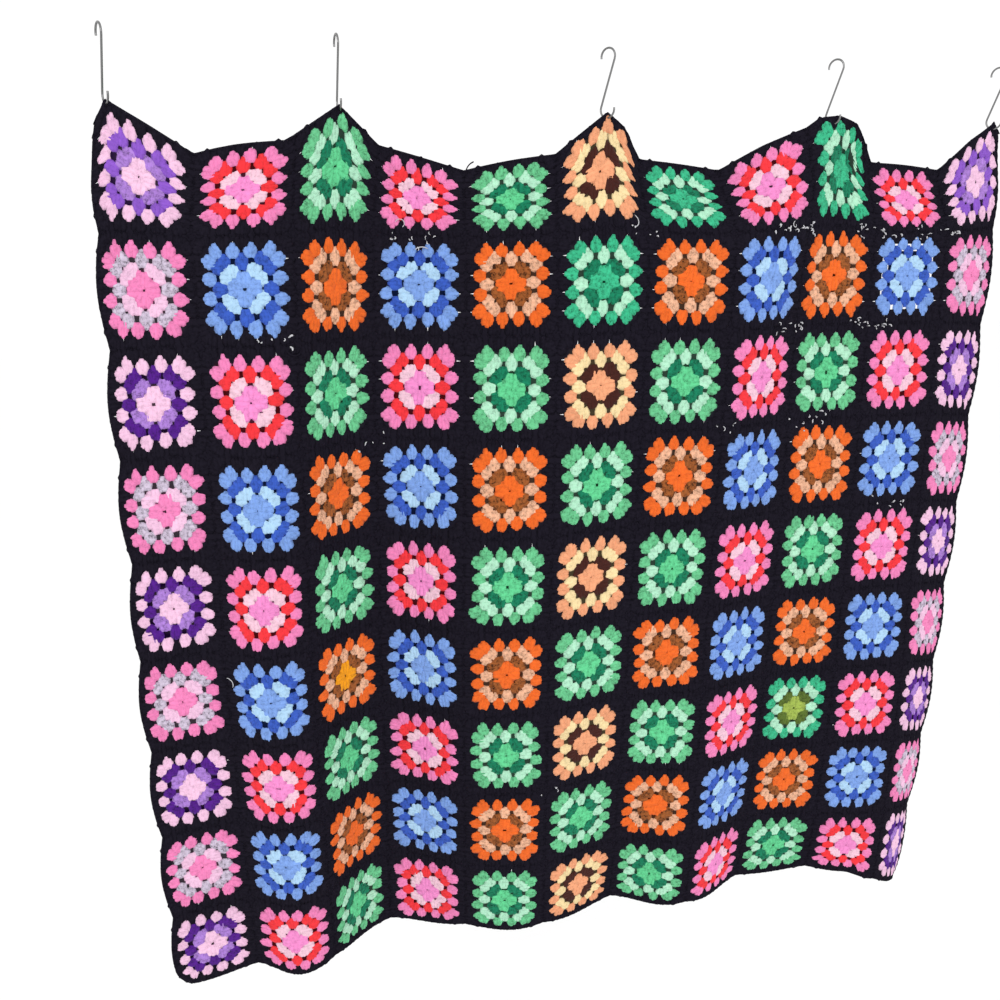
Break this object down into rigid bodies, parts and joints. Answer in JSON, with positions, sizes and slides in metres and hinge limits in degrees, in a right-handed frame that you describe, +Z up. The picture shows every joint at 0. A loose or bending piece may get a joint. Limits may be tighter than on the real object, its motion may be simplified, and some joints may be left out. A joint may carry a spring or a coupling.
{
  "type": "granny square blanket with s-hooks",
  "caption": "Crocheted blanket of many-coloured granny squares joined with black, hanging in soft folds from small wire S-hooks through its top edge.",
  "frame": {"origin": "middle of the third hook's upper bend, where the rail that holds the hooks would lie", "axes": "+Z up, +X along the blanket's top edge from its left to its right as seen from the front, +Y from its front to its back"},
  "size_m": [1.2584, 0.1333, 1.3151],
  "materials": {
    "black_wool": "black worsted yarn, matt and fuzzy",
    "coloured_wool": "worsted yarn in pink, lavender, purple, red, green, peach, yellow, grey, blue, orange and brown, matt and fuzzy",
    "hook_steel": "bright plated wire"
  },
  "bodies": {
    "root": {"blanket": "black_wool", "hook_1": "hook_steel", "hook_2": "hook_steel", "hook_3": "hook_steel", "hook_4": "hook_steel", "hook_5": "hook_steel"}
  },
  "joints": []
}
